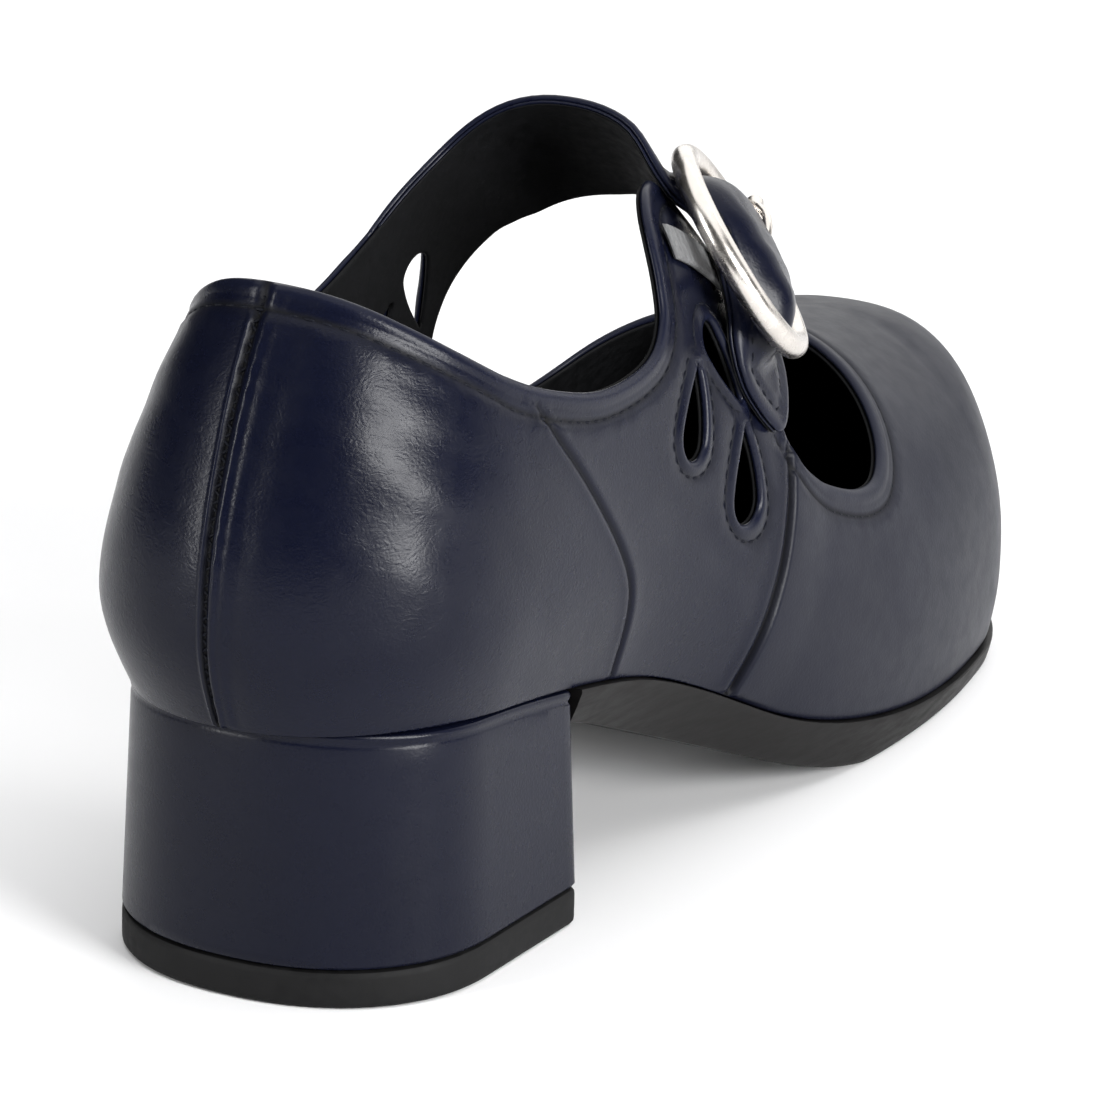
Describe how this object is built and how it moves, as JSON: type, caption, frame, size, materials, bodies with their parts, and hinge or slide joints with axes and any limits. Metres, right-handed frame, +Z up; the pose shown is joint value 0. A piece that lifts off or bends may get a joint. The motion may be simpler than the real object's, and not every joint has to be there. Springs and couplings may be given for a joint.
{
  "type": "mary jane pump",
  "caption": "Right mary jane pump with block heel, rounded toe, drop-shaped cut-outs, instep strap and round ring buckle.",
  "frame": {"origin": "on the floor, under the middle of the heel's top piece", "axes": "+Z up, +Y towards the toe, +X towards the outer side with the buckle"},
  "size_m": [0.0766, 0.2453, 0.1171],
  "materials": {
    "leather": "semi-gloss navy",
    "heel_leather": "semi-gloss navy over a moulded block",
    "lining": "matt black",
    "sole": "matt black-brown",
    "heel_rubber": "matt black",
    "metal": "polished",
    "elastic": "woven grey"
  },
  "bodies": {
    "root": {"top_piece": "heel_rubber", "heel_block": "heel_leather", "outsole": "sole", "insole": "lining", "upper": "leather", "strap": "leather", "buckle_ring": "metal", "buckle_prong": "metal", "buckle_loop": "elastic"}
  },
  "joints": []
}
